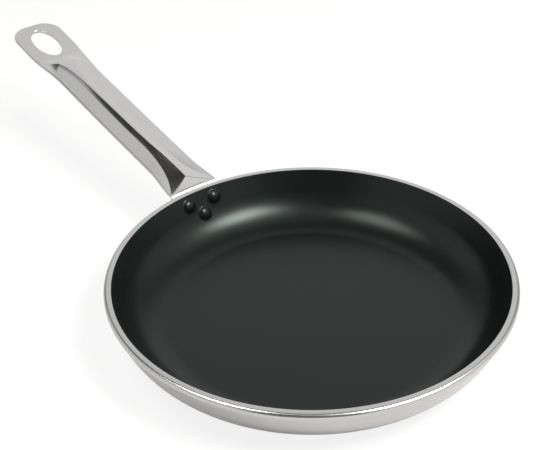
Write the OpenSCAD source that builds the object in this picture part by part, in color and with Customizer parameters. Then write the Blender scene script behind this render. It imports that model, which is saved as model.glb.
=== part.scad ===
// Omelette pan: a thick pressed aluminium body with a non-stick lining, and a
// pressed steel strip handle that three rivets hold against the outside of the wall.
// The origin is the middle of the flat base, +Z is up, and the handle points along +X.

/* [Pan body] */
// Diameter over the rim
rim_d = 240; // [200:1:320]
// Height from the stovetop to the top of the rim
pan_h = 35; // [32:1:50]
// Thickness of the aluminium, in the base and in the wall
wall_t = 5; // [3:0.5:6]
// Lean of the wall outwards, in degrees from upright
wall_lean = 24; // [16:1:32]
// Radius outside the corner between the base and the wall
corner_r = 35; // [28:1:38]
// Radius on the outer edge of the rim
rim_round = 2; // [1:0.25:2.5]

/* [Non-stick lining] */
// Thickness of the lining
lining_t = 0.25; // [0.2:0.05:0.4]

/* [Rivets] */
// Diameter of the rivet shanks
shank_d = 5; // [4:0.5:6]
// Diameter of the domed heads inside the pan
inner_head_d = 9.1; // [8:0.1:11]
// Height of the domed heads inside the pan
inner_head_h = 2.2; // [1.5:0.1:3]
// Diameter of the heads that close the rivets outside
outer_head_d = 8.6; // [7:0.1:10]
// Height of the heads outside
outer_head_h = 1.6; // [1:0.1:2.5]
// Depth of the upper pair below the rim, measured inside
upper_rivet_depth = 6.5; // [5:0.5:8]
// Distance between the two upper rivets
upper_rivet_pitch = 19.2; // [16:0.2:20]
// Depth of the lower rivet below the rim, measured inside
lower_rivet_depth = 14.2; // [13:0.2:16]

/* [Handle] */
// Distance from the middle of the pan to the end of the handle
handle_reach = 333.5; // [300:0.5:380]
// Height of the end of the handle above the rim
handle_rise = 38.5; // [10:0.5:60]
// Thickness of the steel sheet
sheet_t = 2; // [1.5:0.1:2.4]
// Width where the handle leaves the pan
root_w = 35; // [32:0.5:38]
// Width of the grip
grip_w = 30.6; // [27:0.2:32]
// Width of the flat tab at the far end
tab_w = 36.6; // [33:0.2:40]
// Upward slope where the handle leaves the pan, in degrees
start_slope = 9; // [0:0.5:15]
// Upward slope at the end of the handle, in degrees
end_slope = 12.3; // [0:0.1:18]
// Radius of the bend above the rim, on the upper face
bend_r = 2.6; // [2.5:0.1:5]
// Depth below the rim at which the sheet bends away from the wall
leave_depth = 1.5; // [1:0.5:3]
// Length of sheet below the lower rivet
flange_tail = 6.5; // [5.5:0.5:7]
// How far the edges of the grip are pressed up
edge_rise = 0.8; // [0.2:0.1:1.2]
// Radius over the edges of the grip
edge_r = 1.4; // [0.8:0.1:1.4]

/* [Pressed crest] */
// Height of the crest where the triangular facet ends it at the pan
crest_root_h = 3.1; // [2:0.1:4]
// Height of the crest along the grip
crest_grip_h = 1.3; // [0.6:0.1:2]
// Height of the raised tongue where it meets the tab
crest_tab_h = 1.5; // [0.8:0.1:3]
// Length of the triangular facet, from the bend to the tip of the crest
facet_len = 7.8; // [5:0.2:12]
// Width of the crest's flat top along the grip
crest_flat_w = 2; // [1:0.2:4]
// Width of each hollow side of the crest along the grip
flank_w = 4; // [3:0.5:6]

/* [Hanging eye] */
// Length of the oval eye, along the handle
eye_len = 33.5; // [20:0.5:34]
// Width of the oval eye
eye_w = 17.8; // [10:0.2:20]
// Distance from the middle of the eye to the end of the handle
eye_inset = 23.5; // [22:0.5:28]
// Length of the tab, from its middle crease to the end of the handle
tab_len = 47; // [46:1:60]
// How far the crease at the tab bows towards the pan
tab_bow = 6.5; // [2:0.5:10]
// Radius on the corners of the tab
tab_corner_r = 13; // [8:0.5:14]

/* [Hidden] */

// Fits: the rivets in their holes, the sheet against the wall, the lining over the heads
rivet_clearance = 0.05;
seat_gap = 0.05;
head_gap = 0.02;

// Steps along round stretches
turn_steps = 180;
corner_steps = 16;
rim_steps = 8;
eye_steps = 48;

// The wall in profile: a straight line that leans, tangent to the rim and the corner
rim_mid = [rim_d / 2 - rim_round, pan_h - rim_round];
wall_reach = rim_mid.x * cos(wall_lean) - rim_mid.y * sin(wall_lean) + rim_round;
corner_mid = [(wall_reach - corner_r * (1 - sin(wall_lean))) / cos(wall_lean), corner_r];

// Radius of the straight wall at a height, for a face that lies inset under the outer one
function wall_radius(z, inset) = (wall_reach - inset + z * sin(wall_lean)) / cos(wall_lean);

// Point on a circle about a middle, at an angle in degrees
function on_arc(middle, radius, angle) = middle + radius * [cos(angle), sin(angle)];

// The corner of the wall in profile, from the base up to where the wall runs straight
function corner_line(inset) = [
    for (i = [0 : corner_steps])
        on_arc(corner_mid, corner_r - inset, -90 + i * (90 - wall_lean) / corner_steps)
];

// The round edge of the rim, from the wall up to the flat top
function rim_line() = [
    for (i = [0 : rim_steps]) on_arc(rim_mid, rim_round, -wall_lean + i * (90 + wall_lean) / rim_steps)
];

// Lean of the wall's inner face at a height, also where the corner has begun
function lean_at(z) =
    z > corner_mid.y - (corner_r - wall_t) * sin(wall_lean)
        ? wall_lean
        : asin((corner_mid.y - z) / (corner_r - wall_t));

// Radius of the wall's inner face at a height, also where the corner has begun
function inner_radius(z) =
    lean_at(z) == wall_lean
        ? wall_radius(z, wall_t)
        : corner_mid.x + (corner_r - wall_t) * cos(lean_at(z));

// The rivets: each one's height on the inner face and its angle round the pan
upper_z = pan_h - upper_rivet_depth;
lower_z = pan_h - lower_rivet_depth;
upper_turn = asin(upper_rivet_pitch / 2 / inner_radius(upper_z));
RIVETS = [[upper_z, upper_turn], [upper_z, -upper_turn], [lower_z, 0]];
grip_length = wall_t + seat_gap + sheet_t;

// Radius of the ball that a dome of this width and height is cut from
function dome_r(d, h) = (d * d / 4 + h * h) / (2 * h);

// The flange of the handle follows the wall down round the start of the corner
flange_mid_r = corner_r + seat_gap;
tail_lean = lean_at(lower_z) + flange_tail / flange_mid_r * 180 / PI;
leave_z = pan_h - leave_depth;
leave_point = [wall_radius(leave_z, -seat_gap), leave_z];
bend_mid = leave_point + bend_r * [cos(wall_lean), -sin(wall_lean)];
root_point = bend_mid + bend_r * [-sin(start_slope), cos(start_slope)];
end_point = [handle_reach, pan_h + handle_rise];
crest_x = root_point.x + facet_len;
tab_x = handle_reach - tab_len;

// The grip's line in profile: one curve that leaves and ends at the named slopes
line_len = end_point.x - root_point.x;
start_pull_share = 0.3;
end_pull_share = 0.34;
start_pull = start_pull_share * line_len;
end_pull = end_pull_share * line_len;
LINE = [
    root_point,
    root_point + start_pull * [1, tan(start_slope)],
    end_point - end_pull * [1, tan(end_slope)],
    end_point
];
function line_point(t) =
    pow(1 - t, 3) * LINE[0] + 3 * pow(1 - t, 2) * t * LINE[1]
    + 3 * (1 - t) * t * t * LINE[2] + pow(t, 3) * LINE[3];
function line_run(t) =
    pow(1 - t, 2) * (LINE[1] - LINE[0]) + 2 * (1 - t) * t * (LINE[2] - LINE[1])
    + t * t * (LINE[3] - LINE[2]);
function line_at(x, low = 0, high = 1, halvings = 24) =
    halvings == 0
        ? (low + high) / 2
        : line_point((low + high) / 2).x < x
            ? line_at(x, (low + high) / 2, high, halvings - 1)
            : line_at(x, low, (low + high) / 2, halvings - 1);

// Where the middle of the hanging eye lies on that line
eye_t = line_at(handle_reach - eye_inset);
eye_point = line_point(eye_t);
eye_run = line_run(eye_t);

// 0 before a stretch, 1 after it, and a soft rise between
function ease(t) = let (u = min(max(t, 0), 1)) u * u * (3 - 2 * u);

// The crest along the handle: its height, its flat top's half width and its sides' width
crest_settle = 70;
flat_start = 20;
flat_settle = 50;
flank_fade = 8;
tongue_len = 38;
tongue_slow_share = 0.45;
tongue_flare = 10;
tongue_soft_w = 3;
tongue_x = tab_x - tongue_len;
function crest_h(x) =
    crest_grip_h
    + (crest_root_h - crest_grip_h) * (1 - ease((x - crest_x) / crest_settle))
    + (crest_tab_h - crest_grip_h) * ease((x - tongue_x) / tongue_len);
function crest_top(x) =
    let (
        run = min(max((x - tongue_x) / tongue_len, 0), 1),
        spread = tongue_slow_share * run * run + (1 - tongue_slow_share) * pow(run, tongue_flare),
        widest = tab_w / 2 - flank_w - tongue_soft_w
    ) crest_flat_w / 2 * ease((x - crest_x - flat_start) / flat_settle) + widest * spread;
function crest_side(x) =
    flank_w
    + (root_w / 2 - flank_w) * flank_fade / (flank_fade + x - root_point.x)
    + tongue_soft_w * ease((x - tongue_x) / tongue_len);

// Where the raised tongue steps down to the tab, bowed towards the pan in the middle
step_len = 5;
function tab_step(x, y) =
    ease((tab_x + tab_bow * pow(2 * y / grip_w, 2) + step_len / 2 - x) / step_len);

// How far the pressed crest lifts the sheet at a place along and across the handle
hollow_root = 1.15;
hollow_grip = 1.4;
hollow_settle = 40;
function crest_lift(x, y) =
    x <= root_point.x
        ? 0
        : let (
            side = max(0, 1 - max(0, abs(y) - crest_top(x)) / crest_side(x)),
            hollow = hollow_root + (hollow_grip - hollow_root) * ease((x - crest_x) / hollow_settle),
            soft = ease((x - tongue_x) / tongue_len),
            shape = (1 - soft) * pow(side, hollow) + soft * ease(side),
            facet = (x - root_point.x) * crest_root_h / facet_len
        ) min(crest_h(x) * shape * tab_step(x, y), facet);

// Half width of the handle at a distance from the middle of the pan
root_settle = 25;
neck_start = 26;
neck_len = 44;
function half_w(x) =
    let (
        grip = grip_w / 2 + (root_w - grip_w) / 2 * (1 - ease((x - root_point.x) / root_settle)),
        body = grip + (tab_w / 2 - grip) * ease((x - tab_x + neck_start) / neck_len),
        past = max(0, x - (handle_reach - tab_corner_r))
    ) body - tab_corner_r + sqrt(tab_corner_r * tab_corner_r - past * past);

// Half width of the flange, by its share of the way up from its rounded end
tail_w = 10;
tail_round_share = 0.87;
function flange_w(share) =
    tail_w / 2 + (root_w - tail_w) / 2 * sqrt(1 - pow(1 - min(share / tail_round_share, 1), 2));

// How far the edges are pressed up: 0 on the flange and the tab, 1 along the grip
edge_start_len = 14;
edge_stop_len = 18;
function edge_share(x) =
    ease((x - root_point.x) / edge_start_len)
    * (1 - ease((x - tab_x + edge_start_len) / edge_stop_len));

// Stations along the handle: place in profile, lean of the face, half width, share of the
// pressed edge, and share of the wrap round the pan
wrap_fade = 14;
tail_steps = 5;
flange_steps = 4;
bend_steps = 6;
flange_turn = tail_lean - wall_lean;
tail_top = on_arc(corner_mid, flange_mid_r, -wall_lean);
flange_len = norm(leave_point - tail_top) + flange_mid_r * flange_turn * PI / 180;
TAIL = [
    for (i = [0 : tail_steps]) let (a = tail_lean - i * flange_turn / tail_steps)
        [
            on_arc(corner_mid, flange_mid_r, -a), a,
            flange_w(flange_mid_r * (tail_lean - a) * PI / 180 / flange_len), 0, 1
        ]
];
FLANGE = [
    for (i = [1 : flange_steps]) let (p = tail_top + (leave_point - tail_top) * i / flange_steps)
        [p, wall_lean, flange_w(1 - norm(leave_point - p) / flange_len), 0, 1]
];
BEND = [
    for (i = [1 : bend_steps])
        let (a = wall_lean + (90 - start_slope - wall_lean) * i / bend_steps)
            [on_arc(bend_mid, bend_r, 180 - a), a, root_w / 2, 0, 1]
];
corner_x = handle_reach - tab_corner_r;
settle_x = crest_x + crest_settle;
step_x = tab_x - 1.2 * step_len;
flat_x = tab_x + tab_bow + 1.2 * step_len;
facet_steps = 6;
settle_steps = 10;
settle_bias = 1.4;
grip_steps = 4;
tongue_steps = 8;
step_steps = 12;
tab_steps = 4;
tab_corner_steps = 6;
GRIP_X = concat(
    [for (i = [1 : facet_steps]) root_point.x + facet_len * i / facet_steps],
    [for (i = [1 : settle_steps]) crest_x + crest_settle * pow(i / settle_steps, settle_bias)],
    [for (i = [1 : grip_steps]) settle_x + (tongue_x - settle_x) * i / grip_steps],
    [for (i = [1 : tongue_steps]) tongue_x + (step_x - tongue_x) * i / tongue_steps],
    [for (i = [1 : step_steps]) step_x + (flat_x - step_x) * i / step_steps],
    [for (i = [1 : tab_steps]) flat_x + (corner_x - flat_x) * i / tab_steps],
    [for (i = [1 : tab_corner_steps]) corner_x + tab_corner_r * sin(90 * i / tab_corner_steps)]
);
GRIP = [
    for (x = GRIP_X) let (t = line_at(x), run = line_run(t))
        [
            line_point(t), 90 - atan2(run.y, run.x), half_w(x), edge_share(x),
            1 - ease((x - root_point.x) / wrap_fade)
        ]
];
STATIONS = concat(TAIL, FLANGE, BEND, GRIP);

// One point of the handle: at a station, across it, and above the station's face
function handle_point(station, y, lift) =
    let (
        x = station[0].x - lift * cos(station[1]),
        z = station[0].y + lift * sin(station[1]),
        wrapped = x - station[4] * (x - sqrt(x * x - y * y))
    ) [wrapped, y, z];

// How far the upper face lies above the handle's line at a station and across it
edge_band = 9;
function face_lift(station, y) =
    crest_lift(station[0].x, y)
    + edge_rise * station[3] * ease((abs(y) - station[2] + edge_band) / edge_band);

// The outline of the sheet at a station, from its middle out over one edge and back below
across = 10;
edge_steps = 3;
flat_edge_r = 0.6;
under_edge_r = 0.3;
edge_flat = 0.1;
half_count = across + edge_steps;
under = half_count - 2;
function side_line(station, side) =
    let (
        w = station[2],
        r = min(flat_edge_r + (edge_r - flat_edge_r) * station[3], sheet_t - under_edge_r - edge_flat),
        top = face_lift(station, w)
    ) concat(
        [for (i = [1 : across]) let (y = (w - r) * i / across) [side * y, face_lift(station, y)]],
        [
            for (i = [1 : edge_steps]) let (a = 90 - 90 * i / edge_steps)
                [side * (w - r + r * cos(a)), top - r + r * sin(a)]
        ],
        [[side * w, top - sheet_t + under_edge_r], [side * (w - under_edge_r), top - sheet_t]],
        [
            for (i = [under : -1 : 1]) let (y = (w - 3 * under_edge_r) * i / under)
                [side * y, face_lift(station, y) - sheet_t]
        ]
    );
side_count = 2 * half_count;
ring_count = 2 * side_count + 2;
function ring(station) =
    let (lift = face_lift(station, 0), left = side_line(station, 1), right = side_line(station, -1))
        [
            for (p = concat(
                [[0, lift]], left, [[0, lift - sheet_t]], [for (i = [side_count - 1 : -1 : 0]) right[i]]
            )) handle_point(station, p[0], p[1])
        ];

module strip() {
    last = len(STATIONS) - 1;
    end = last * ring_count;
    points = [for (station = STATIONS) each ring(station)];
    sides = [
        for (i = [0 : last - 1], j = [0 : ring_count - 1])
            let (
                a = i * ring_count + j,
                b = i * ring_count + (j + 1) % ring_count,
                c = a + ring_count,
                d = b + ring_count
            ) each [[a, b, d], [a, d, c]]
    ];
    caps = [
        for (k = [-half_count : half_count - 1])
            let (
                a = (k + ring_count) % ring_count,
                b = (k + 1 + ring_count) % ring_count,
                c = side_count - k,
                d = side_count + 1 - k
            ) each [[a, c, b], [a, d, c], [end + a, end + b, end + c], [end + a, end + c, end + d]]
    ];
    polyhedron(points, concat(sides, caps));
}

// Everything inside the bowl, up to a height over the rim, out to a face that lies inset
module bowl_space(inset) {
    top = pan_h + 10;
    rotate_extrude($fn = turn_steps)
        polygon(concat(
            [[0, top], [0, corner_mid.y - corner_r + inset]],
            corner_line(inset),
            [[wall_radius(top, inset), top]]
        ));
}

// Puts its children on a rivet's axis: +Z points outwards through the wall from the inner face
module at_rivet(place) {
    lean = lean_at(place[0]);
    rotate([0, 0, place[1]])
        translate([inner_radius(place[0]), 0, place[0]])
            rotate([0, 90 + lean, 0])
                children();
}

module rivet_hole(place) {
    at_rivet(place)
        translate([0, 0, -wall_t])
            cylinder(h = grip_length + 2 * wall_t, d = shank_d + 2 * rivet_clearance, $fn = 48);
}

// The ball that the inner head of a rivet is cut from, grown for what covers it
module head_ball(place, grow) {
    ball_r = dome_r(inner_head_d, inner_head_h);
    at_rivet(place)
        translate([0, 0, ball_r - inner_head_h])
            sphere(r = ball_r + grow, $fn = 64);
}

module rivet(place) {
    ball_r = dome_r(outer_head_d, outer_head_h);
    color("silver") {
        intersection() {
            head_ball(place, 0);
            bowl_space(wall_t);
        }
        at_rivet(place)
            translate([0, 0, -inner_head_h / 2])
                cylinder(h = inner_head_h / 2 + grip_length + outer_head_h / 2, d = shank_d, $fn = 48);
        at_rivet(place)
            translate([0, 0, grip_length])
                intersection() {
                    translate([0, 0, outer_head_h - ball_r])
                        sphere(r = ball_r, $fn = 64);
                    cylinder(h = 2 * outer_head_h, d = 2 * outer_head_d, $fn = 48);
                }
    }
}

module pan_body() {
    color("silver")
        difference() {
            rotate_extrude($fn = turn_steps)
                polygon(concat(
                    [[0, 0]],
                    corner_line(0),
                    rim_line(),
                    [[wall_radius(pan_h, wall_t), pan_h]],
                    [for (i = [corner_steps : -1 : 0]) corner_line(wall_t)[i]],
                    [[0, wall_t]]
                ));
            for (place = RIVETS)
                rivet_hole(place);
        }
}

module nonstick_lining() {
    color("dimgray")
        difference() {
            intersection() {
                union() {
                    difference() {
                        bowl_space(wall_t);
                        bowl_space(wall_t + lining_t);
                    }
                    for (place = RIVETS)
                        intersection() {
                            head_ball(place, lining_t);
                            bowl_space(wall_t);
                        }
                }
                cylinder(h = pan_h, d = rim_d, $fn = turn_steps);
            }
            for (place = RIVETS)
                head_ball(place, head_gap);
        }
}

module handle() {
    color("gainsboro")
        difference() {
            strip();
            for (place = RIVETS)
                rivet_hole(place);
            translate([eye_point.x, 0, eye_point.y])
                rotate([0, -atan2(eye_run.y, eye_run.x), 0])
                    linear_extrude(height = 4 * sheet_t, center = true)
                        polygon([
                            for (i = [0 : eye_steps - 1]) let (a = 360 * i / eye_steps)
                                [eye_len / 2 * cos(a), eye_w / 2 * sin(a)]
                        ]);
        }
}

module rivet_left() {
    rivet(RIVETS[0]);
}

module rivet_right() {
    rivet(RIVETS[1]);
}

module rivet_lower() {
    rivet(RIVETS[2]);
}

pan_body();
nonstick_lining();
handle();
rivet_left();
rivet_right();
rivet_lower();
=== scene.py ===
import math
from collections import namedtuple

import bpy
import numpy as np
from mathutils import Matrix, Vector


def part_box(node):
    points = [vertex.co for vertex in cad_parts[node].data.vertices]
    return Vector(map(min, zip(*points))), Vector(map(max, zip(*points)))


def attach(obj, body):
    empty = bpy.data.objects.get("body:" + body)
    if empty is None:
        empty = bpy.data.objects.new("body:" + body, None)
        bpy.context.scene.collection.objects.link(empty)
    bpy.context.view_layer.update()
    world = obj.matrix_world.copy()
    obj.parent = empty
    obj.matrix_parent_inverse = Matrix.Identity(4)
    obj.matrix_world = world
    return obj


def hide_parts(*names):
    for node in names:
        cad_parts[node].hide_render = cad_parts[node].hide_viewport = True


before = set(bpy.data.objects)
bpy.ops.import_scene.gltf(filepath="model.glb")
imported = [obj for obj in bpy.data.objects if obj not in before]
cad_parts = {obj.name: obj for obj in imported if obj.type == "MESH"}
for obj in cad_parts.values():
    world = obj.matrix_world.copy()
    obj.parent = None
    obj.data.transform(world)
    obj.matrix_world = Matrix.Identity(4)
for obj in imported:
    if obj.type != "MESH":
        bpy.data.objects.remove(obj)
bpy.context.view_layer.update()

# Sizes in metres. The frame gives the pan's own, and the rest are the solids', apart from the
# groups further down that say otherwise.
MM = 0.001
body_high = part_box("pan_body")[1]
PAN_H = body_high.z
RIM_R = round(body_high.y, 3)

WALL_T = 5 * MM
WALL_LEAN = math.radians(24)
CORNER_R = 35 * MM
RIM_ROUND = 2 * MM
LINING_T = 0.25 * MM

INNER_HEAD_D = 9.1 * MM
INNER_HEAD_H = 2.2 * MM
OUTER_HEAD_D = 8.6 * MM
OUTER_HEAD_H = 1.6 * MM
SHANK_D = 5 * MM
UPPER_RIVET_DEPTH = 6.5 * MM
UPPER_RIVET_PITCH = 19.2 * MM
LOWER_RIVET_DEPTH = 14.2 * MM

HANDLE_REACH = 333.5 * MM
HANDLE_RISE = 38.5 * MM
SHEET_T = 2 * MM
SEAT_GAP = 0.05 * MM
ROOT_W = 35 * MM
GRIP_W = 30.6 * MM
TAB_W = 36.6 * MM
START_SLOPE = math.radians(9)
END_SLOPE = math.radians(12.3)
START_PULL_SHARE = 0.3
END_PULL_SHARE = 0.34
BEND_R = 2.6 * MM
LEAVE_DEPTH = 1.5 * MM
FLANGE_TAIL = 6.5 * MM
TAIL_W = 10 * MM
TAIL_ROUND_SHARE = 0.87
WRAP_FADE = 14 * MM
ROOT_SETTLE = 25 * MM
NECK_START = 26 * MM
NECK_LEN = 44 * MM

CREST_ROOT_H = 3.1 * MM
CREST_FLAT_W = 2 * MM
FACET_LEN = 7.8 * MM
FLANK_W = 4 * MM
FLAT_START = 20 * MM
FLAT_SETTLE = 50 * MM
HOLLOW_SETTLE = 40 * MM
TONGUE_LEN = 38 * MM
TONGUE_SLOW_SHARE = 0.45
TONGUE_FLARE = 10
TONGUE_SOFT_W = 3 * MM
EDGE_RISE = 0.8 * MM
EDGE_BAND = 9 * MM
UNDER_EDGE_R = 0.3 * MM

EYE_LEN = 33.5 * MM
EYE_W = 17.8 * MM
EYE_INSET = 23.5 * MM
TAB_LEN = 47 * MM
TAB_CORNER_R = 13 * MM
STEP_LEN = 5 * MM

# Small forms, gaps and limits that only the meshes here have
LINING_EDGE_R = 0.15 * MM
LINING_GAP = 0.02 * MM
INNER_HEAD_FILLET = 0.45 * MM
SHANK_REACH_IN = 1.5 * MM
EYE_ROUND = 0.12 * MM
UNDER_EDGE_BAND = 0.9 * MM
AXIS_R = 0.0001 * MM

# The handle's upper face has softer forms than the solid's, as its reflections show it
CREST_GRIP_H = 0.8 * MM
CREST_END_H = 0.2 * MM
CREST_SETTLE = 45 * MM
CREST_FADE_START = 60 * MM
CREST_FADE_LEN = 70 * MM
FLANK_FADE = 16 * MM
HOLLOW_ROOT = 1.0
HOLLOW_GRIP = 1.5
GROOVE_DEPTH = 0.15 * MM
GROOVE_W = 1.8 * MM
GROOVE_FADE = 55 * MM
ROOF_SLOPE = math.tan(math.radians(3.5))
ROOF_START_LEN = 40 * MM
EDGE_START_LEN = 36 * MM
EDGE_STOP_START = 14 * MM
EDGE_STOP_LEN = 18 * MM
EDGE_R = 0.35 * MM
TAB_BOW = 6 * MM
STEP_SIDE_SHARE = 5

# The photograph's camera, as solved from the black edge inside the rim
PHOTO_W = 540
FOCAL_PX = 1200
SENSOR_W = 36
BLACK_EDGE_R = 115.6 * MM
CAMERA_DISTANCE = 6.039 * BLACK_EDGE_R
CAMERA_ELEVATION = math.radians(36.35)
CAMERA_ROLL = math.radians(0.08)
AIM_RIGHT_PX = 40.5
AIM_DOWN_PX = 48.4
HANDLE_TURN = math.radians(128.8)

# The two lamps. Directions are in degrees: azimuth 0 is behind the pan, and 90 is to its right
# in the photograph.
LAMP_DISTANCE = 1.3
LAMP_SIZE = (0.56, 0.42)
LAMP_COLOUR = (1.0, 0.96, 0.93)
KEY_RIGHT = {"azimuth": 118, "elevation": 56.5, "power": 26}
FILL_LEFT = {"azimuth": -104, "elevation": 65.5, "power": 8.5}

# The studio in reflections. Pairs are the start and end of a soft change, in degrees of azimuth
# or, for the names with HEIGHT, in the height of a direction of length 1.
WORLD_LEVEL = 0.25
BACKDROP_FADE = (13, 38)
BACKDROP_SIDE_LEVEL = 0.38
BACKDROP_TOP_HEIGHTS = (0.66, 0.80)
BACKDROP_TOP_LEVEL = 0.82
WINGS_FADE_IN = (42, 62)
WINGS_LEVEL = 0.95
WINGS_FADE_OUT = (142, 160)
FRONT_FADE = (140, 160)
FRONT_LEVEL = 0.5
CEILING_HEIGHTS = (0.82, 0.90)
CEILING_LEVEL = 0.08
CEILING_RAISED = (20, 45)
CEILING_RAISE = 0.13
CEILING_LOWERED = (-12, -20)
CEILING_DROP = 0.22

# The floor glows in part, so that the photograph's white shows and a soft shadow stays
FLOOR_HALF = 8.0
FLOOR_GAP = 0.2 * MM
FLOOR_TONE = 0.74
FLOOR_ROUGHNESS = 0.9
GLOW_SHARE_SEEN = 0.84
GLOW_SHARE_MIRRORED = 0.42
GLOW_LEVEL_SEEN = 1.0
GLOW_LEVEL_MIRRORED = 0.7


def ease(t):
    """0 before a stretch, 1 after it, and a soft rise between."""
    u = min(max(t, 0.0), 1.0)
    return u * u * (3 - 2 * u)


def on_arc(middle, radius, angle):
    return (middle[0] + radius * math.cos(angle), middle[1] + radius * math.sin(angle))


def spread(low, high, count):
    """Evenly spaced values after low, up to and with high."""
    return [low + (high - low) * i / count for i in range(1, count + 1)]


def straight(start, end, count):
    """Evenly spaced points after start, up to and with end."""
    return list(zip(spread(start[0], end[0], count), spread(start[1], end[1], count)))


def turn_round(count):
    """Evenly spaced angles of a full turn."""
    return [2 * math.pi * k / count for k in range(count)]


# The wall in profile: a straight line that leans, tangent to the rim and the corner
SIN_LEAN = math.sin(WALL_LEAN)
COS_LEAN = math.cos(WALL_LEAN)
RIM_MID = (RIM_R - RIM_ROUND, PAN_H - RIM_ROUND)
WALL_REACH = RIM_MID[0] * COS_LEAN - RIM_MID[1] * SIN_LEAN + RIM_ROUND
CORNER_MID = ((WALL_REACH - CORNER_R * (1 - SIN_LEAN)) / COS_LEAN, CORNER_R)


def wall_radius(z, inset):
    return (WALL_REACH - inset + z * SIN_LEAN) / COS_LEAN


def lean_at(z):
    """Lean of the wall's inner face at a height, also where the corner has begun."""
    inner_r = CORNER_R - WALL_T
    if z > CORNER_MID[1] - inner_r * SIN_LEAN:
        return WALL_LEAN
    return math.asin((CORNER_MID[1] - z) / inner_r)


def inner_radius(z):
    lean = lean_at(z)
    if lean == WALL_LEAN:
        return wall_radius(z, WALL_T)
    return CORNER_MID[0] + (CORNER_R - WALL_T) * math.cos(lean)


# Where the rivets are: their height, and their turn round the pan from the handle
UPPER_Z = PAN_H - UPPER_RIVET_DEPTH
LOWER_Z = PAN_H - LOWER_RIVET_DEPTH
UPPER_TURN = math.asin(UPPER_RIVET_PITCH / 2 / inner_radius(UPPER_Z))
RIVETS = {
    "rivet_left": (UPPER_Z, UPPER_TURN),
    "rivet_right": (UPPER_Z, -UPPER_TURN),
    "rivet_lower": (LOWER_Z, 0.0),
}


def rivet_axis(place):
    """The point of a rivet on the wall's inner face, and its direction out through the wall."""
    z, turn = place
    lean = lean_at(z)
    radius = inner_radius(z)
    start = Vector((radius * math.cos(turn), radius * math.sin(turn), z))
    out = Vector((math.cos(turn) * math.cos(lean), math.sin(turn) * math.cos(lean), -math.sin(lean)))
    return start, out


def dome_r(d, h):
    """Radius of the ball whose cap has this width and height."""
    return (d * d / 4 + h * h) / (2 * h)


def mesh_piece(name, points, faces, sharp_degrees=35):
    """A smooth-shaded mesh object, with edges sharper than the angle kept sharp."""
    mesh = bpy.data.meshes.new(name)
    mesh.from_pydata([tuple(p) for p in points], [], faces)
    mesh.update()
    mesh.shade_smooth()
    mesh.set_sharp_from_angle(angle=math.radians(sharp_degrees))
    piece = bpy.data.objects.new(name, mesh)
    bpy.context.scene.collection.objects.link(piece)
    return piece


def revolve(profile, angles):
    """Points and faces of a closed profile of (radius, height) turned round +Z."""
    on_axis = [r < AXIS_R for r, z in profile]
    points = []
    starts = []
    for (r, z), single in zip(profile, on_axis):
        starts.append(len(points))
        if single:
            points.append((0.0, 0.0, z))
        else:
            points += [(r * math.cos(a), r * math.sin(a), z) for a in angles]
    faces = []
    for i in range(len(profile)):
        j = (i + 1) % len(profile)
        if on_axis[i] and on_axis[j]:
            continue
        for k in range(len(angles)):
            n = (k + 1) % len(angles)
            a, b = starts[i] + k, starts[i] + n
            c, d = starts[j] + n, starts[j] + k
            if on_axis[i]:
                faces.append((starts[i], c, d))
            elif on_axis[j]:
                faces.append((a, b, starts[j]))
            else:
                faces.append((a, b, c, d))
    return points, faces


def corner_line(inset, steps):
    """The corner between base and wall, from the base up."""
    turn = math.pi / 2 - WALL_LEAN
    return [
        on_arc(CORNER_MID, CORNER_R - inset, -math.pi / 2 + turn * i / steps) for i in range(steps + 1)
    ]


def flat_line(z, steps):
    """A level line from the axis out to just before the corner."""
    return [(0.0, z)] + straight((0, z), (CORNER_MID[0], z), steps)[:-1]


def make_pan_body():
    """The thick pressed bowl with its bare rim."""
    turn_steps, corner_steps, rim_steps, wall_steps, flat_steps = 360, 48, 16, 6, 10
    rim_turn = math.pi / 2 + WALL_LEAN
    rim = [on_arc(RIM_MID, RIM_ROUND, -WALL_LEAN + rim_turn * i / rim_steps) for i in range(rim_steps + 1)]
    corner = corner_line(0, corner_steps)
    profile = (
        flat_line(0.0, flat_steps)
        + corner
        + straight(corner[-1], rim[0], wall_steps)[:-1]
        + rim
        + [(wall_radius(PAN_H, WALL_T), PAN_H)]
        + corner_line(WALL_T, corner_steps)[::-1]
        + flat_line(WALL_T, flat_steps)[::-1]
    )
    return mesh_piece("pan_body_visual", *revolve(profile, turn_round(turn_steps)))


def make_lining():
    """The coating: a skin on the inside that also runs over the rivets' domed heads."""
    near_steps, far_steps = 180, 300
    flat_steps, corner_steps, head_steps, wall_steps = 16, 30, 44, 64
    back_flat_steps, back_corner_steps = 6, 40
    near = math.radians(9)
    far = 2 * math.pi - 2 * near
    angles = [-near + 2 * near * k / near_steps for k in range(near_steps)]
    angles += [near + far * k / far_steps for k in range(far_steps)]

    face = WALL_T + LINING_T
    ball_r = CORNER_R - face
    head_lean = math.asin((CORNER_MID[1] - LOWER_Z + INNER_HEAD_D) / ball_r)
    leans = spread(math.pi / 2, head_lean, corner_steps) + spread(head_lean, WALL_LEAN, head_steps)
    corner = [on_arc(CORNER_MID, ball_r, -lean) for lean in leans]
    top = (wall_radius(PAN_H - LINING_EDGE_R, face), PAN_H - LINING_EDGE_R)
    shown = [(0.0, face)] + straight((0, face), (CORNER_MID[0], face), flat_steps)
    shown += corner + straight(corner[-1], top, wall_steps)
    shown.append((wall_radius(PAN_H, face) + LINING_EDGE_R / 2, PAN_H))

    back_inset = WALL_T + LINING_GAP
    back = [(wall_radius(PAN_H, back_inset), PAN_H)] + corner_line(back_inset, back_corner_steps)[::-1]
    back += flat_line(back_inset, back_flat_steps)[::-1]
    points, faces = revolve((shown + back)[::-1], angles)
    points = np.array(points)
    back_count = len(angles) * (len(back) - 1) + 1
    raise_heads(points[back_count:])
    return mesh_piece("nonstick_lining_visual", points, faces, sharp_degrees=50)


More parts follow.
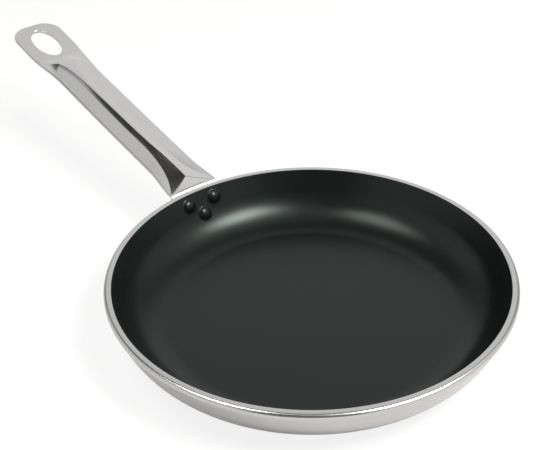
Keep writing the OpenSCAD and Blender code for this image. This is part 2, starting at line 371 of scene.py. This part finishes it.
def raise_heads(points):
    """Lifts the lining's face over the three heads, with a small fillet round each."""
    ball_r = dome_r(INNER_HEAD_D, INNER_HEAD_H)
    head_r = INNER_HEAD_D / 2
    edge_slope = head_r / (ball_r - INNER_HEAD_H)
    for place in RIVETS.values():
        start, out = rivet_axis(place)
        start, out = np.array(start), np.array(out)
        q = points - start
        along = q @ out
        d = np.linalg.norm(q - np.outer(along, out), axis=1)
        near = (d < 2 * head_r) & (np.abs(along) < 2 * head_r)
        dome = np.sqrt(np.maximum(ball_r**2 - np.minimum(d, head_r) ** 2, 0)) - (ball_r - INNER_HEAD_H)
        height = np.where(d < head_r, dome, -edge_slope * (d - head_r))
        lift = (height + np.sqrt(height**2 + INNER_HEAD_FILLET**2)) / 2
        lift = np.where(d > head_r, lift * np.clip((2 * head_r - d) / head_r, 0, 1) ** 2, lift)
        points[near] -= np.outer(lift, out)[near]


# The handle's line in profile, as in the solids
FLANGE_MID_R = CORNER_R + SEAT_GAP
TAIL_LEAN = lean_at(LOWER_Z) + FLANGE_TAIL / FLANGE_MID_R
LEAVE_Z = PAN_H - LEAVE_DEPTH
LEAVE_POINT = np.array([wall_radius(LEAVE_Z, -SEAT_GAP), LEAVE_Z])
BEND_MID = LEAVE_POINT + BEND_R * np.array([COS_LEAN, -SIN_LEAN])
ROOT_POINT = BEND_MID + BEND_R * np.array([-math.sin(START_SLOPE), math.cos(START_SLOPE)])
ROOT_X = ROOT_POINT[0]
TAB_X = HANDLE_REACH - TAB_LEN
CREST_X = ROOT_X + FACET_LEN
TONGUE_X = TAB_X - TONGUE_LEN
CORNER_X = HANDLE_REACH - TAB_CORNER_R
END_POINT = np.array([HANDLE_REACH, PAN_H + HANDLE_RISE])
LINE_LEN = END_POINT[0] - ROOT_X
LINE = [
    ROOT_POINT,
    ROOT_POINT + START_PULL_SHARE * LINE_LEN * np.array([1, math.tan(START_SLOPE)]),
    END_POINT - END_PULL_SHARE * LINE_LEN * np.array([1, math.tan(END_SLOPE)]),
    END_POINT,
]


def line_point(t):
    s = 1 - t
    return s**3 * LINE[0] + 3 * s * s * t * LINE[1] + 3 * s * t * t * LINE[2] + t**3 * LINE[3]


def line_slope(t):
    """Angle by which the handle's line rises."""
    s = 1 - t
    run = s * s * (LINE[1] - LINE[0]) + 2 * s * t * (LINE[2] - LINE[1]) + t * t * (LINE[3] - LINE[2])
    return math.atan2(run[1], run[0])


def line_at(x):
    """Share of the handle's line at a distance from the pan's middle, found by halving."""
    halvings = 40
    low, high = 0.0, 1.0
    for _ in range(halvings):
        t = (low + high) / 2
        if line_point(t)[0] < x:
            low = t
        else:
            high = t
    return (low + high) / 2


def crest_h(x):
    """Height of the crest's steep sides, which nearly run out before the tab."""
    root = (CREST_ROOT_H - CREST_GRIP_H) * (1 - ease((x - CREST_X) / CREST_SETTLE))
    end = (CREST_GRIP_H - CREST_END_H) * ease((x - CREST_X - CREST_FADE_START) / CREST_FADE_LEN)
    return CREST_GRIP_H + root - end


def crest_top(x):
    """Half width of the crest's flat top, which widens into the tongue."""
    run = min(max((x - TONGUE_X) / TONGUE_LEN, 0), 1)
    wider = TONGUE_SLOW_SHARE * run * run + (1 - TONGUE_SLOW_SHARE) * run**TONGUE_FLARE
    widest = TAB_W / 2 - FLANK_W - TONGUE_SOFT_W
    return CREST_FLAT_W / 2 * ease((x - CREST_X - FLAT_START) / FLAT_SETTLE) + widest * wider


def crest_side(x):
    """Width of one of the crest's flanks."""
    return FLANK_W + (ROOT_W / 2 - FLANK_W) * math.exp((ROOT_X - x) / FLANK_FADE)


def tab_step(x, y):
    """1 on the grip and 0 on the tab, with a bowed step between that is softer at the sides."""
    aside = (2 * y / GRIP_W) ** 2
    length = STEP_LEN * (1 + STEP_SIDE_SHARE * aside)
    return ease((TAB_X + TAB_BOW * aside + STEP_LEN / 2 - x) / length)


def crest_lift(x, y):
    """How far the pressed crest lifts the sheet at a place along and across the handle."""
    if x <= ROOT_X:
        return 0.0
    foot = crest_top(x) + crest_side(x)
    side = max(0.0, 1 - max(0.0, abs(y) - crest_top(x)) / crest_side(x))
    hollow = HOLLOW_ROOT + (HOLLOW_GRIP - HOLLOW_ROOT) * ease((x - CREST_X) / HOLLOW_SETTLE)
    facet = (x - ROOT_X) * CREST_ROOT_H / FACET_LEN
    started = ease((x - CREST_X) / FACET_LEN) * (1 - ease((x - CREST_X) / GROOVE_FADE))
    groove = GROOVE_DEPTH * started * math.exp(-(((abs(y) - foot) / GROOVE_W) ** 2))
    return min(crest_h(x) * side**hollow, facet) * tab_step(x, y) - groove


def half_w(x):
    """Half width of the handle, from the pan to the tab's rounded end."""
    grip = GRIP_W / 2 + (ROOT_W - GRIP_W) / 2 * (1 - ease((x - ROOT_X) / ROOT_SETTLE))
    body = grip + (TAB_W / 2 - grip) * ease((x - TAB_X + NECK_START) / NECK_LEN)
    past = max(0.0, x - CORNER_X)
    return body - TAB_CORNER_R + math.sqrt(max(TAB_CORNER_R**2 - past * past, 0))


def flange_w(share):
    """Half width of the flange at a share of its length up from the tail."""
    return TAIL_W / 2 + (ROOT_W - TAIL_W) / 2 * math.sqrt(1 - (1 - min(share / TAIL_ROUND_SHARE, 1)) ** 2)


def edge_share(x):
    """How far the edges are pressed up: 0 on the flange and the tab, 1 along the grip."""
    started = ease((x - ROOT_X) / EDGE_START_LEN)
    return started * (1 - ease((x - TAB_X + EDGE_STOP_START) / EDGE_STOP_LEN))


# A cut across the handle: its place in profile, the lean of its face, its half width, how far
# its edges are pressed up, and how far it wraps round the pan
Station = namedtuple("Station", "place lean w pressed wrap")


def flange_stations():
    """The stations on the wall and round the bend."""
    tail_steps, wall_steps, bend_steps = 24, 24, 16
    turn = TAIL_LEAN - WALL_LEAN
    tail_top = np.array(on_arc(CORNER_MID, FLANGE_MID_R, -WALL_LEAN))
    flange_len = np.linalg.norm(LEAVE_POINT - tail_top) + FLANGE_MID_R * turn
    stations = []
    for i in range(tail_steps + 1):
        lean = TAIL_LEAN - turn * i / tail_steps
        run = FLANGE_MID_R * (TAIL_LEAN - lean)
        place = np.array(on_arc(CORNER_MID, FLANGE_MID_R, -lean))
        stations.append(Station(place, lean, flange_w(run / flange_len), 0, 1))
    for i in range(1, wall_steps + 1):
        place = tail_top + (LEAVE_POINT - tail_top) * i / wall_steps
        run = flange_len - np.linalg.norm(LEAVE_POINT - place)
        stations.append(Station(place, WALL_LEAN, flange_w(run / flange_len), 0, 1))
    bend = math.pi / 2 - START_SLOPE - WALL_LEAN
    for i in range(1, bend_steps + 1):
        lean = WALL_LEAN + bend * i / bend_steps
        place = np.array(on_arc(BEND_MID, BEND_R, math.pi - lean))
        stations.append(Station(place, lean, ROOT_W / 2, 0, 1))
    return stations


def grip_stations():
    """The stations from the bend out to the tab's end, closer where the form changes."""
    crest_end = CREST_X + 2 * MM
    step_start = TAB_X - 6 * MM
    step_end = TAB_X + 14 * MM
    corner_steps = 40
    places = spread(ROOT_X, crest_end, 33)
    places += spread(crest_end, TONGUE_X, 110)
    places += spread(TONGUE_X, step_start, 80)
    places += spread(step_start, step_end, 60)
    places += spread(step_end, CORNER_X, 30)
    places += [CORNER_X + TAB_CORNER_R * math.sin(a) for a in spread(0, math.pi / 2, corner_steps)]
    stations = []
    for x in places:
        t = line_at(x)
        lean = math.pi / 2 - line_slope(t)
        wrap = 1 - ease((x - ROOT_X) / WRAP_FADE)
        stations.append(Station(line_point(t), lean, half_w(x), edge_share(x), wrap))
    return stations


def face_lift(station, y):
    """How far the upper face lies above the handle's line at a station and across it."""
    x = station.place[0]
    near_edge = ease((abs(y) - station.w + EDGE_BAND) / EDGE_BAND)
    edge = EDGE_RISE * station.pressed * near_edge
    roof_share = ease((x - ROOT_X) / ROOF_START_LEN) * tab_step(x, y)
    roof = EDGE_RISE * (1 - near_edge) + ROOF_SLOPE * (station.w - max(abs(y), crest_top(x)))
    return crest_lift(x, y) + edge + roof_share * roof


def side_line(station, side):
    """The outline of the sheet from its middle line out over one edge and back below."""
    upper_steps, edge_steps, under_steps = 52, 8, 58
    w = station.w
    top = face_lift(station, w)
    line = [(side * y, face_lift(station, y)) for y in spread(0, w - EDGE_R, upper_steps)]
    for i in range(1, edge_steps + 1):
        a = math.pi / 2 * (1 - i / edge_steps)
        line.append((side * (w - EDGE_R + EDGE_R * math.cos(a)), top - EDGE_R + EDGE_R * math.sin(a)))
    line.append((side * w, top - SHEET_T + UNDER_EDGE_R))
    line.append((side * (w - UNDER_EDGE_R), top - SHEET_T))
    for y in spread(0, w - UNDER_EDGE_BAND, under_steps)[::-1]:
        line.append((side * y, face_lift(station, y) - SHEET_T))
    return line


def handle_point(station, y, lift):
    """A point of the sheet in space, pulled round the pan where the handle hugs it."""
    x = station.place[0] - lift * math.cos(station.lean)
    z = station.place[1] + lift * math.sin(station.lean)
    if station.wrap:
        x -= station.wrap * (x - math.sqrt(x * x - y * y))
    return (x, y, z)


def make_handle():
    """The pressed strip, swept through its stations, with the eye cut through its tab."""
    sharp_degrees = 28
    stations = flange_stations() + grip_stations()
    points = []
    for station in stations:
        left = side_line(station, 1)
        right = side_line(station, -1)
        lift = face_lift(station, 0)
        outline = [(0, lift)] + left + [(0, lift - SHEET_T)] + right[::-1]
        points += [handle_point(station, y, h) for y, h in outline]
    side_count = len(left)
    ring = len(outline)
    faces = []
    for i in range(len(stations) - 1):
        for j in range(ring):
            a, b = i * ring + j, i * ring + (j + 1) % ring
            faces.append((a, a + ring, b + ring, b))
    last = (len(stations) - 1) * ring
    half = side_count // 2
    for k in range(-half, half):
        quad = (k % ring, (k + 1) % ring, side_count - k, side_count + 1 - k)
        faces.append(quad)
        faces.append(tuple(last + v for v in quad[::-1]))
    piece = mesh_piece("handle_visual", points, faces)
    piece.data.flip_normals()
    cut_eye(piece)
    piece.data.shade_smooth()
    piece.data.set_sharp_from_angle(angle=math.radians(sharp_degrees))
    return piece


def eye_cutter():
    """The eye's inside, flared by a small round at both faces of the sheet and past them."""
    turn_steps, round_steps = 96, 8
    past = 2 * MM
    t = line_at(HANDLE_REACH - EYE_INSET)
    slope = line_slope(t)
    middle = line_point(t)
    upper = [(past + EYE_ROUND, past)]
    for i in range(round_steps + 1):
        a = math.pi / 2 * i / round_steps
        upper.append((EYE_ROUND * (1 - math.sin(a)), -EYE_ROUND * (1 - math.cos(a))))
    lower = [(flare, -SHEET_T - height) for flare, height in upper[::-1]]
    points = []
    for flare, height in upper + lower:
        for a in turn_round(turn_steps):
            along = (EYE_LEN / 2 + flare) * math.cos(a)
            x = middle[0] + along * math.cos(slope) - height * math.sin(slope)
            z = middle[1] + along * math.sin(slope) + height * math.cos(slope)
            points.append((x, (EYE_W / 2 + flare) * math.sin(a), z))
    last = len(points) - turn_steps
    faces = []
    for start in range(0, last, turn_steps):
        for k in range(turn_steps):
            n = (k + 1) % turn_steps
            faces.append((start + k, start + turn_steps + k, start + turn_steps + n, start + n))
    faces.append(tuple(range(turn_steps)))
    faces.append(tuple(last + k for k in range(turn_steps))[::-1])
    return mesh_piece("eye_cutter", points, faces)


def cut_eye(piece):
    """Cuts the oval eye, with its edges eased, square to the tab."""
    cutter = eye_cutter()
    cut = piece.modifiers.new("eye", "BOOLEAN")
    cut.operation = "DIFFERENCE"
    cut.solver = "EXACT"
    cut.object = cutter
    evaluated = piece.evaluated_get(bpy.context.evaluated_depsgraph_get())
    mesh = bpy.data.meshes.new_from_object(evaluated)
    piece.modifiers.clear()
    piece.data = mesh
    bpy.data.objects.remove(cutter)


def make_rivet(name):
    """A rivet: its shank, and the low round head that closes it outside."""
    turn_steps, dome_steps = 64, 24
    start, out = rivet_axis(RIVETS[name])
    grip = WALL_T + SEAT_GAP + SHEET_T
    ball_r = dome_r(OUTER_HEAD_D, OUTER_HEAD_H)
    ball_mid = (0, grip + OUTER_HEAD_H - ball_r)
    half_turn = math.asin(OUTER_HEAD_D / 2 / ball_r)
    shank_r = SHANK_D / 2
    profile = [(0.0, -SHANK_REACH_IN), (shank_r, -SHANK_REACH_IN), (shank_r, grip)]
    profile.append((OUTER_HEAD_D / 2, grip))
    profile += [on_arc(ball_mid, ball_r, math.pi / 2 - a) for a in spread(half_turn, 0, dome_steps)]
    points, faces = revolve(profile, turn_round(turn_steps))
    turn = out.to_track_quat("Z", "Y").to_matrix()
    points = [start + turn @ Vector(p) for p in points]
    return mesh_piece(name + "_visual", points, faces, sharp_degrees=40)


class Nodes:
    """A tree of shader nodes, built one node at a time."""

    def __init__(self, tree):
        self.tree = tree

    def add(self, kind, settings=(), **inputs):
        node = self.tree.nodes.new(kind)
        for key, value in dict(settings).items():
            setattr(node, key, value)
        for key, value in inputs.items():
            self.feed(node, key, value)
        return node

    def feed(self, node, key, value):
        socket = node.inputs[key]
        if isinstance(value, bpy.types.NodeSocket):
            self.tree.links.new(value, socket)
        else:
            socket.default_value = value

    def math(self, operation, a, b=0.0):
        node = self.add("ShaderNodeMath", {"operation": operation})
        self.feed(node, 0, a)
        self.feed(node, 1, b)
        return node.outputs[0]

    def point(self):
        return self.add("ShaderNodeTexCoord").outputs["Object"]

    def apart(self, vector):
        return self.add("ShaderNodeSeparateXYZ", Vector=vector).outputs

    def noise(self, vector, scale, detail):
        return self.add("ShaderNodeTexNoise", Vector=vector, Scale=scale, Detail=detail).outputs["Fac"]

    def ramp(self, value, ends, low=0.0, high=1.0, kind="SMOOTHSTEP"):
        """A change from low to high while the value goes from the first end to the second."""
        node = self.add("ShaderNodeMapRange", {"interpolation_type": kind}, Value=value)
        for key, number in zip(("From Min", "From Max", "To Min", "To Max"), (*ends, low, high)):
            self.feed(node, key, number)
        return node.outputs["Result"]

    def between(self, noise, low, high):
        """A noise, whose values lie mostly in its usual range, spread from low to high."""
        usual = (0.3, 0.7)
        return self.ramp(noise, usual, low, high, kind="LINEAR")

    def colours(self, value, low, high):
        """A colour between two."""
        node = self.add("ShaderNodeMix", {"data_type": "RGBA"}, Factor=value)
        self.feed(node, 6, (*low, 1))
        self.feed(node, 7, (*high, 1))
        return node.outputs[2]

    def bump(self, height, strength, distance):
        node = self.add("ShaderNodeBump", Height=height, Strength=strength, Distance=distance)
        return node.outputs["Normal"]


def new_material(name):
    """A material, its nodes and its shader."""
    material = bpy.data.materials.new(name)
    material.use_nodes = True
    tree = material.node_tree
    return material, Nodes(tree), tree.nodes["Principled BSDF"]


def rings_round(nodes):
    """A coordinate that is the same all round +Z, for a turned finish."""
    x, y, z = nodes.apart(nodes.point())
    squares = nodes.math("ADD", nodes.math("MULTIPLY", x, x), nodes.math("MULTIPLY", y, y))
    return nodes.add("ShaderNodeCombineXYZ", X=nodes.math("SQRT", squares), Z=z).outputs[0]


def half_and_half(nodes, a, b):
    return nodes.math("ADD", nodes.math("MULTIPLY", a, 0.5), nodes.math("MULTIPLY", b, 0.5))


def aluminium():
    """Satin turned aluminium: fine rings round the pan and a soft mottle."""
    material, nodes, shader = new_material("turned_aluminium")
    rings = rings_round(nodes)
    fine = nodes.noise(rings, scale=2600.0, detail=2.0)
    broad = nodes.noise(rings, scale=240.0, detail=3.0)
    mottle = nodes.noise(nodes.point(), scale=35.0, detail=4.0)
    tone = half_and_half(nodes, fine, mottle)
    rough = nodes.math("ADD", nodes.between(broad, 0.20, 0.28), nodes.between(mottle, -0.02, 0.03))
    nodes.feed(shader, "Metallic", 1.0)
    nodes.feed(shader, "Base Color", nodes.colours(tone, (0.49, 0.488, 0.48), (0.55, 0.548, 0.54)))
    nodes.feed(shader, "Roughness", rough)
    nodes.feed(shader, "Normal", nodes.bump(fine, strength=0.12, distance=0.04 * MM))
    return material


def black_lining():
    """Semi-matte black coating with a very fine grain and a faint green cast."""
    material, nodes, shader = new_material("nonstick_black")
    point = nodes.point()
    grain = nodes.noise(point, scale=1900.0, detail=2.0)
    cloud = nodes.noise(point, scale=28.0, detail=4.0)
    rough = nodes.math("ADD", nodes.between(cloud, 0.27, 0.31), nodes.between(grain, -0.02, 0.02))
    nodes.feed(shader, "Base Color", nodes.colours(cloud, (0.003, 0.0042, 0.0038), (0.005, 0.0065, 0.006)))
    nodes.feed(shader, "Roughness", rough)
    nodes.feed(shader, "IOR", 1.32)
    nodes.feed(shader, "Specular Tint", (0.85, 1.0, 0.95, 1))
    nodes.feed(shader, "Normal", nodes.bump(grain, strength=0.10, distance=0.03 * MM))
    return material


def satin_steel():
    """Satin stainless steel: hair lines along the handle, a soft mottle, and a duller bend."""
    material, nodes, shader = new_material("satin_steel")
    lengthways, upwards, dull_len = 0.03, 0.2, 1.5 * MM
    x, y, z = nodes.apart(nodes.point())
    along = nodes.math("MULTIPLY", x, lengthways)
    up = nodes.math("MULTIPLY", z, upwards)
    stretched = nodes.add("ShaderNodeCombineXYZ", X=along, Y=y, Z=up).outputs[0]
    lines = nodes.noise(stretched, scale=3200.0, detail=3.0)
    mottle = nodes.noise(nodes.point(), scale=60.0, detail=4.0)
    tone = half_and_half(nodes, lines, mottle)
    rough = nodes.math("ADD", nodes.between(lines, 0.17, 0.21), nodes.between(mottle, -0.02, 0.02))
    duller = nodes.ramp(x, (ROOT_X - dull_len, ROOT_X), 0.3, 0.0, kind="LINEAR")
    nodes.feed(shader, "Metallic", 1.0)
    nodes.feed(shader, "Base Color", nodes.colours(tone, (0.525, 0.517, 0.515), (0.60, 0.592, 0.59)))
    nodes.feed(shader, "Roughness", nodes.math("ADD", rough, duller))
    nodes.feed(shader, "Normal", nodes.bump(lines, strength=0.03, distance=0.02 * MM))
    return material


def rivet_metal():
    """Plain satin rivet heads with a little tarnish."""
    material, nodes, shader = new_material("rivet_metal")
    mottle = nodes.noise(nodes.point(), scale=420.0, detail=4.0)
    nodes.feed(shader, "Metallic", 1.0)
    nodes.feed(shader, "Base Color", nodes.colours(mottle, (0.60, 0.60, 0.59), (0.70, 0.70, 0.69)))
    nodes.feed(shader, "Roughness", nodes.between(mottle, 0.28, 0.40))
    nodes.feed(shader, "Normal", nodes.bump(mottle, strength=0.08, distance=0.05 * MM))
    return material


def dress(piece, material, slot, *replaced):
    """Gives a piece its finish and puts it on the part's body in place of its solid."""
    piece.data.materials.clear()
    piece.data.materials.append(material)
    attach(piece, "root")
    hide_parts(*replaced)


def turned(vector):
    """A direction or place as the photograph's camera sees it, turned into the pan's frame."""
    return Matrix.Rotation(-HANDLE_TURN, 3, "Z") @ Vector(vector)


def make_camera():
    """The photograph's camera, which looks past the pan's middle by its two aim values."""
    place = Vector((0, -math.cos(CAMERA_ELEVATION), math.sin(CAMERA_ELEVATION))) * CAMERA_DISTANCE
    forward = -place.normalized()
    right = Vector((1, 0, 0))
    level = Matrix((right, right.cross(forward), forward))
    a = -math.atan(AIM_RIGHT_PX / FOCAL_PX)
    b = math.atan(AIM_DOWN_PX / FOCAL_PX)
    c = CAMERA_ROLL
    across = Matrix(((math.cos(a), 0, -math.sin(a)), (0, 1, 0), (math.sin(a), 0, math.cos(a))))
    down = Matrix(((1, 0, 0), (0, math.cos(b), -math.sin(b)), (0, math.sin(b), math.cos(b))))
    roll = Matrix(((math.cos(c), -math.sin(c), 0), (math.sin(c), math.cos(c), 0), (0, 0, 1)))
    right, up, forward = roll @ down @ across @ level
    axes = Matrix((turned(right), turned(up), -turned(forward))).transposed()
    data = bpy.data.cameras.new("camera")
    data.sensor_width = SENSOR_W
    data.lens = FOCAL_PX * SENSOR_W / PHOTO_W
    data.clip_start = 0.01
    data.clip_end = 20
    camera = bpy.data.objects.new("camera", data)
    bpy.context.scene.collection.objects.link(camera)
    camera.matrix_world = Matrix.Translation(turned(place) + Vector((0, 0, PAN_H))) @ axes.to_4x4()
    bpy.context.scene.camera = camera


def make_lamp(name, azimuth, elevation, power):
    """A soft lamp that shines on the pan."""
    a, e = math.radians(azimuth), math.radians(elevation)
    toward = turned((math.sin(a) * math.cos(e), math.cos(a) * math.cos(e), math.sin(e)))
    data = bpy.data.lights.new(name, "AREA")
    data.shape = "RECTANGLE"
    data.size, data.size_y = LAMP_SIZE
    data.energy = power
    data.color = LAMP_COLOUR
    lamp = bpy.data.objects.new(name, data)
    bpy.context.scene.collection.objects.link(lamp)
    lamp.location = toward * LAMP_DISTANCE
    lamp.rotation_mode = "QUATERNION"
    lamp.rotation_quaternion = toward.to_track_quat("Z", "Y")


def studio_level(nodes):
    """How bright the studio is in a mirrored direction.

    A white backdrop stands behind the pan, bright wings at its sides, and the camera's side and
    the ceiling are dark. The ceiling starts higher on the right and lower on the left.
    """
    direction = nodes.add("ShaderNodeTexCoord").outputs["Generated"]

    def along(axis):
        node = nodes.add("ShaderNodeVectorMath", {"operation": "DOT_PRODUCT"})
        nodes.feed(node, 0, direction)
        nodes.feed(node, 1, turned(axis))
        return node.outputs["Value"]

    right = along((1, 0, 0))
    away = along((0, 1, 0))
    height = along((0, 0, 1))
    azimuth = nodes.math("MULTIPLY", nodes.math("ARCTAN2", right, away), 180 / math.pi)
    aside = nodes.math("ABSOLUTE", azimuth)
    sideways = nodes.ramp(aside, BACKDROP_FADE, 1.0, BACKDROP_SIDE_LEVEL)
    upwards = nodes.ramp(height, BACKDROP_TOP_HEIGHTS, 1.0, BACKDROP_TOP_LEVEL)
    frontwards = nodes.ramp(aside, FRONT_FADE, 1.0, FRONT_LEVEL)
    backdrop = nodes.math("MULTIPLY", nodes.math("MULTIPLY", sideways, upwards), frontwards)
    wings_start = nodes.ramp(aside, WINGS_FADE_IN, 0.0, WINGS_LEVEL)
    wings = nodes.math("MULTIPLY", wings_start, nodes.ramp(aside, WINGS_FADE_OUT, 1.0, 0.0))
    raised = nodes.ramp(azimuth, CEILING_RAISED, 0.0, -CEILING_RAISE)
    lowered = nodes.ramp(azimuth, CEILING_LOWERED, 0.0, CEILING_DROP)
    toward_ceiling = nodes.math("ADD", height, nodes.math("ADD", raised, lowered))
    ceiling = nodes.ramp(toward_ceiling, CEILING_HEIGHTS, 1.0, CEILING_LEVEL)
    return nodes.math("MULTIPLY", nodes.math("MAXIMUM", backdrop, wings), ceiling)


def make_world():
    """White for the camera, the studio in reflections, and a plain low level for matt surfaces."""
    world = bpy.data.worlds.new("studio")
    bpy.context.scene.world = world
    world.use_nodes = True
    world.node_tree.nodes.clear()
    nodes = Nodes(world.node_tree)
    paths = nodes.add("ShaderNodeLightPath").outputs
    mirrored = nodes.math("MAXIMUM", paths["Is Glossy Ray"], paths["Is Transmission Ray"])

    def mix(factor, a, b):
        node = nodes.add("ShaderNodeMix", {"data_type": "FLOAT"}, Factor=factor)
        nodes.feed(node, 2, a)
        nodes.feed(node, 3, b)
        return node.outputs[0]

    level = mix(mirrored, WORLD_LEVEL, studio_level(nodes))
    strength = mix(paths["Is Camera Ray"], level, 1.0)
    background = nodes.add("ShaderNodeBackground", Color=(1, 1, 1, 1), Strength=strength)
    nodes.add("ShaderNodeOutputWorld", Surface=background.outputs[0])


def make_floor():
    """A plain floor that the camera and the reflections see partly as glowing white."""
    corners = [(x * FLOOR_HALF, y * FLOOR_HALF, 0) for x, y in ((-1, -1), (1, -1), (1, 1), (-1, 1))]
    floor = mesh_piece("floor", corners, [(0, 1, 2, 3)])
    floor.location.z = -FLOOR_GAP
    material, nodes, shader = new_material("floor_white")
    nodes.feed(shader, "Base Color", (FLOOR_TONE, FLOOR_TONE, FLOOR_TONE, 1))
    nodes.feed(shader, "Roughness", FLOOR_ROUGHNESS)
    nodes.feed(shader, "Specular IOR Level", 0.0)
    paths = nodes.add("ShaderNodeLightPath").outputs
    by_camera = paths["Is Camera Ray"]
    seen = nodes.math("MAXIMUM", by_camera, paths["Is Glossy Ray"])
    share = nodes.ramp(by_camera, (0.0, 1.0), GLOW_SHARE_MIRRORED, GLOW_SHARE_SEEN, kind="LINEAR")
    level = nodes.ramp(by_camera, (0.0, 1.0), GLOW_LEVEL_MIRRORED, GLOW_LEVEL_SEEN, kind="LINEAR")
    glow = nodes.add("ShaderNodeEmission", Color=(1, 1, 1, 1), Strength=level)
    mix = nodes.add("ShaderNodeMixShader")
    nodes.feed(mix, 0, nodes.math("MULTIPLY", seen, share))
    nodes.feed(mix, 1, shader.outputs[0])
    nodes.feed(mix, 2, glow.outputs[0])
    nodes.feed(nodes.tree.nodes["Material Output"], "Surface", mix.outputs[0])
    floor.data.materials.append(material)


bpy.context.scene.view_settings.view_transform = "Standard"
make_camera()
make_world()
make_lamp("key_right", **KEY_RIGHT)
make_lamp("fill_left", **FILL_LEFT)
make_floor()
dress(make_pan_body(), aluminium(), "pan_aluminium", "pan_body")
dress(make_lining(), black_lining(), "nonstick_black", "nonstick_lining")
dress(make_handle(), satin_steel(), "handle_steel", "handle")
rivet_finish = rivet_metal()
for rivet_name in RIVETS:
    dress(make_rivet(rivet_name), rivet_finish, "rivet_metal", rivet_name)
